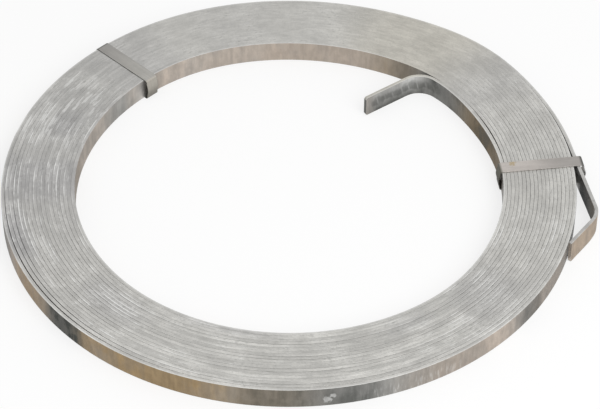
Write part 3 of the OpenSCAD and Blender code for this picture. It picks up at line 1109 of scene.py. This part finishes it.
def strap_finish(name, steel, bore_tone_and_shade, border, colours, rusty):
    """Steel strap, darker towards the rim, with painted shade towards the floor, at its rim bend, on its
    edges and on the side strap in the bore, painted light inside its rim run, drawn lines and perhaps a
    rust spot.
    """
    finish, paint = new_finish(name)
    place = paint.place()
    across = paint.mark("across")
    rimward = paint.mark("rimward")
    mottle = paint.group("Zinc mottle", Place=place, Fine_size=1.3)
    drawn = paint.streaks(across, 25.0, 9.0, 0.3, 0.7)
    # Darker towards the rim
    dull = paint.times(paint.spread(rimward, 0.2, 0.9), 0.6)
    colour = paint.blended(dull, steel, colours.strap_rim_tone)
    # In the bore: a paler tone on the rear strap, painted shade on the side strap
    colour = paint.blended(paint.spread(rimward, 0.02, 0.05, 1.0, 0.0), colour, bore_tone_and_shade)
    # Painted shade on the strap's bend at the rim
    rim_bend_shade = paint.spread(rimward, 0.93, 0.96)
    rim_bend_shade = paint.times(rim_bend_shade, paint.spread(rimward, 0.966, 0.976, 0.8, 0.1))
    colour = paint.blended(rim_bend_shade, colour, colours.dark)
    lit_inside = paint.times(paint.mark("inside"), paint.spread(rimward, 0.96, 0.98))
    colour = paint.blended(lit_inside, colour, colours.bloom_and_light)
    # Painted shade along the strap's edges, as strong as the border value
    shaded_brim = paint.times(paint.spread(paint.off_middle(across), 0.475, 0.495), border)
    colour = paint.blended(shaded_brim, colour, colours.dark)
    # Painted shade towards the floor
    shade = paint.spread(paint.upward(place), 0, 23 * MM, 0.55, 1.0)
    colour = paint.toned(colour, shade, ((drawn, 0.95, 1.03), (mottle["Cloud"], 0.93, 1.05)))
    if rusty:
        rust = paint.times(paint.spot(place, RUST_SPOT), 0.65)
        colour = paint.blended(rust, colour, colours.rust)
    rough = paint.spread(mottle["Grain"], 0, 1, 0.32, 0.46)
    steel_shader(paint, colour, rough, mottle["Cloud"], STRAP_BUMP)
    return finish


class COIL_OT_wind_strip(Operator):
    """Wind the strip with both its bent ends and give it its galvanised finish"""
    bl_idname = "coil.wind_strip"
    bl_label = "Wind Strip"

    def execute(self, context):
        scene = context.scene
        strip = wound_strip(scene.coil_strip, scene.coil_straps)
        strip.data.materials.append(strip_finish(scene.coil_colours))
        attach(strip, "root")
        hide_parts("strip_coil")
        return {"FINISHED"}


class COIL_OT_fit_straps(Operator):
    """Fit the two steel straps round the coil"""
    bl_idname = "coil.fit_straps"
    bl_label = "Fit Straps"

    def execute(self, context):
        scene = context.scene
        straps = scene.coil_straps
        colours = scene.coil_colours
        # The border value is the strength of the painted shade on each strap's edges
        for node, angle, skew, steel, bore_tone_and_shade, border, rusty in (
                ("rear_strap", straps.rear_angle, straps.rear_skew, colours.rear_strap,
                 colours.strap_bright, 0.8, False),
                ("side_strap", straps.side_angle, straps.side_skew, colours.side_strap,
                 colours.strap_shade, 0.15, True)):
            strap = fitted_strap(node, angle, skew, straps, scene.coil_strip)
            strap.data.materials.append(
                strap_finish("steel_" + node, steel, bore_tone_and_shade, border, colours, rusty))
            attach(strap, "root")
            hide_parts(node)
        return {"FINISHED"}


class COIL_OT_set_stage(Operator):
    """Lay a pale floor, light it softly and set the camera"""
    bl_idname = "coil.set_stage"
    bl_label = "Set Stage"

    def execute(self, context):
        scene = context.scene
        stage = scene.coil_stage
        lay_floor(stage)
        set_lights(scene, stage)
        set_camera(scene, stage)
        scene.view_settings.view_transform = "Standard"
        return {"FINISHED"}


def seen_rays(paint):
    """1 for what the camera sees directly, mirrored or through glass."""
    path = paint.tree.nodes.new("ShaderNodeLightPath").outputs
    seen = paint.sums("MAXIMUM", path["Is Camera Ray"], path["Is Glossy Ray"])
    return paint.sums("MAXIMUM", seen, path["Is Transmission Ray"])


def lay_floor(stage):
    """Plain floor just under the straps, part of which shows plain white in the picture."""
    mesh = bpy.data.meshes.new("floor")
    square = ((-1, -1), (1, -1), (1, 1), (-1, 1))
    corners = [(x * FLOOR_HALF, y * FLOOR_HALF, -FLOOR_DROP) for x, y in square]
    mesh.from_pydata(corners, [], [(0, 1, 2, 3)])
    floor = bpy.data.objects.new("floor", mesh)
    bpy.context.scene.collection.objects.link(floor)
    finish, paint = new_finish("pale_floor")
    shader = paint.tree.nodes["Principled BSDF"]
    for name, value in (
            ("Base Color", stage.floor_colour), ("Roughness", 0.9), ("Specular IOR Level", 0.0)):
        paint.fill(shader.inputs[name], value)
    glow = paint.node("ShaderNodeEmission", 0, {"Strength": 1.0})
    share = paint.times(seen_rays(paint), stage.floor_glow)
    mixed = paint.node("ShaderNodeMixShader", 0, {0: share, 1: shader.outputs[0], 2: glow})
    paint.fill(paint.tree.nodes["Material Output"].inputs["Surface"], mixed)
    mesh.materials.append(finish)


def set_lights(scene, stage):
    """Even light from all round and one large soft light."""
    world = bpy.data.worlds.new("studio")
    world.use_nodes = True
    paint = Paint(world.node_tree)
    background = world.node_tree.nodes["Background"]
    background.inputs["Color"].default_value = (1.0, 1.0, 1.0, 1.0)
    strength = paint.spread(seen_rays(paint), 0, 1, stage.sky_strength, 1.0)
    paint.fill(background.inputs["Strength"], strength)
    scene.world = world
    lamp = bpy.data.lights.new("key_light", "AREA")
    lamp.shape = "SQUARE"
    lamp.size = KEY_SIZE
    lamp.energy = stage.key_power
    key = bpy.data.objects.new("key_light", lamp)
    key.location = KEY_PLACE
    key.rotation_mode = "QUATERNION"
    key.rotation_quaternion = (-Vector(KEY_PLACE)).to_track_quat("-Z", "Y")
    scene.collection.objects.link(key)


def set_camera(scene, stage):
    """Camera in front of the coil, looking down at its middle."""
    lens = bpy.data.cameras.new("camera")
    lens.lens = stage.focal_length
    lens.sensor_width = SENSOR_WIDTH
    lens.shift_x, lens.shift_y = LENS_SHIFT
    lens.clip_start, lens.clip_end = CLIP_RANGE
    camera = bpy.data.objects.new("camera", lens)
    back = Vector((0, -math.cos(stage.camera_elevation), math.sin(stage.camera_elevation)))
    camera.location = back * stage.camera_distance + Vector((0, 0, COIL_LOW.z))
    camera.rotation_mode = "QUATERNION"
    roll = Matrix.Rotation(stage.camera_roll, 4, "Z").to_quaternion()
    camera.rotation_quaternion = (-back).to_track_quat("-Z", "Y") @ roll
    scene.collection.objects.link(camera)
    scene.camera = camera


class COIL_PT_sidebar(Panel):
    bl_idname = "COIL_PT_sidebar"
    bl_label = "Strip Coil"
    bl_space_type = "VIEW_3D"
    bl_region_type = "UI"
    bl_category = "Coil"

    def draw(self, context):
        scene = context.scene
        sections = (
            (scene.coil_strip, COIL_OT_wind_strip), (scene.coil_straps, COIL_OT_fit_straps),
            (scene.coil_colours, None), (scene.coil_stage, COIL_OT_set_stage))
        for group, operator in sections:
            box = self.layout.box()
            for name in group.bl_rna.properties.keys():
                if name not in ("rna_type", "name"):
                    box.prop(group, name)
            if operator is not None:
                box.operator(operator.bl_idname)


CLASSES = (
    StripSizes, StrapSizes, CoilColours, StageSettings,
    COIL_OT_wind_strip, COIL_OT_fit_straps, COIL_OT_set_stage, COIL_PT_sidebar,
)
SETTINGS = {
    "coil_strip": StripSizes,
    "coil_straps": StrapSizes,
    "coil_colours": CoilColours,
    "coil_stage": StageSettings,
}


def register():
    for cls in CLASSES:
        bpy.utils.register_class(cls)
    for name, group in SETTINGS.items():
        setattr(bpy.types.Scene, name, PointerProperty(type=group))


def unregister():
    for name in SETTINGS:
        delattr(bpy.types.Scene, name)
    for cls in reversed(CLASSES):
        bpy.utils.unregister_class(cls)


def main():
    register()
    bpy.ops.coil.wind_strip()
    bpy.ops.coil.fit_straps()
    bpy.ops.coil.set_stage()


if __name__ == "__main__":
    main()
